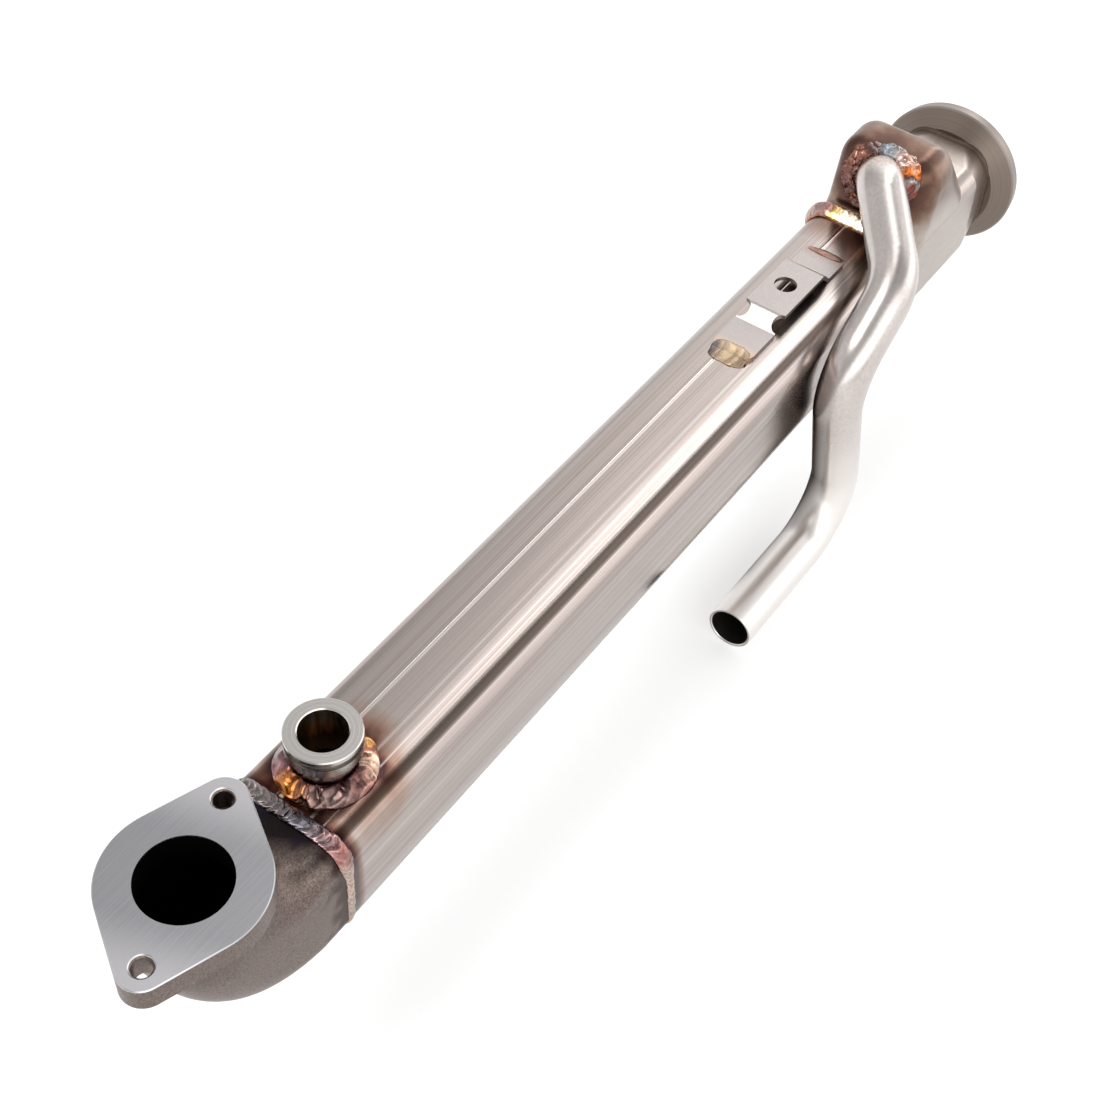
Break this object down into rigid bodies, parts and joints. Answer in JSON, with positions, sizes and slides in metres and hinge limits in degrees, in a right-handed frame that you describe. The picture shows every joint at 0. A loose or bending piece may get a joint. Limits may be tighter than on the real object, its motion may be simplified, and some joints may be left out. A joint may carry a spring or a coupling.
{
  "type": "egr cooler",
  "caption": "Square stainless gas-to-coolant heat exchanger with a cast elbow and two-bolt flange, a V-band flange, a grooved coolant spigot, a bent coolant tube and a welded bracket.",
  "frame": {"origin": "centre of the two-bolt flange's mating face, on the axis of its bore", "axes": "+Z out of the two-bolt flange's face; +X along the casing towards the V-band flange; +Y to the left of the casing, seen from the two-bolt flange"},
  "size_m": [0.5794, 0.0836, 0.1603],
  "materials": {
    "cast_stainless": "as-cast stainless grain, machined flange face",
    "brushed_stainless": "drawn satin stainless with lengthwise streaks and heat tint near the welds",
    "turned_steel": "turned stainless, straw tint in the bore",
    "pressed_stainless": "pressed stainless, polished on the curves, purple heat tint near the tube",
    "machined_ring": "turned stainless flange with fine concentric lines",
    "satin_tube": "satin stainless tube",
    "bracket_sheet": "light matt stainless sheet",
    "weld_silver": "rippled weld bead, silver with pink and purple tint",
    "weld_gold": "rippled weld bead, straw and gold tint with brown edges",
    "weld_dark": "rough weld bead, dark brown with copper patches",
    "core_stainless": "brazed thin stainless sheet"
  },
  "bodies": {
    "root": {"outlet_header": "cast_stainless", "casing": "brushed_stainless", "coolant_spigot": "turned_steel", "inlet_header": "pressed_stainless", "inlet_vband_ring": "machined_ring", "coolant_tube": "satin_tube", "mounting_bracket": "bracket_sheet", "weld_outlet_header": "weld_silver", "weld_inlet_header": "weld_gold", "weld_spigot": "weld_silver", "weld_tube": "weld_dark", "weld_bracket_front": "weld_gold", "weld_bracket_rear": "weld_dark", "front_tube_sheet": "core_stainless", "rear_tube_sheet": "core_stainless", "gas_tube_1": "core_stainless", "gas_tube_2": "core_stainless", "gas_tube_3": "core_stainless", "gas_tube_4": "core_stainless", "gas_tube_5": "core_stainless", "gas_fin_1": "core_stainless", "gas_fin_2": "core_stainless", "gas_fin_3": "core_stainless", "gas_fin_4": "core_stainless", "gas_fin_5": "core_stainless"}
  },
  "joints": []
}
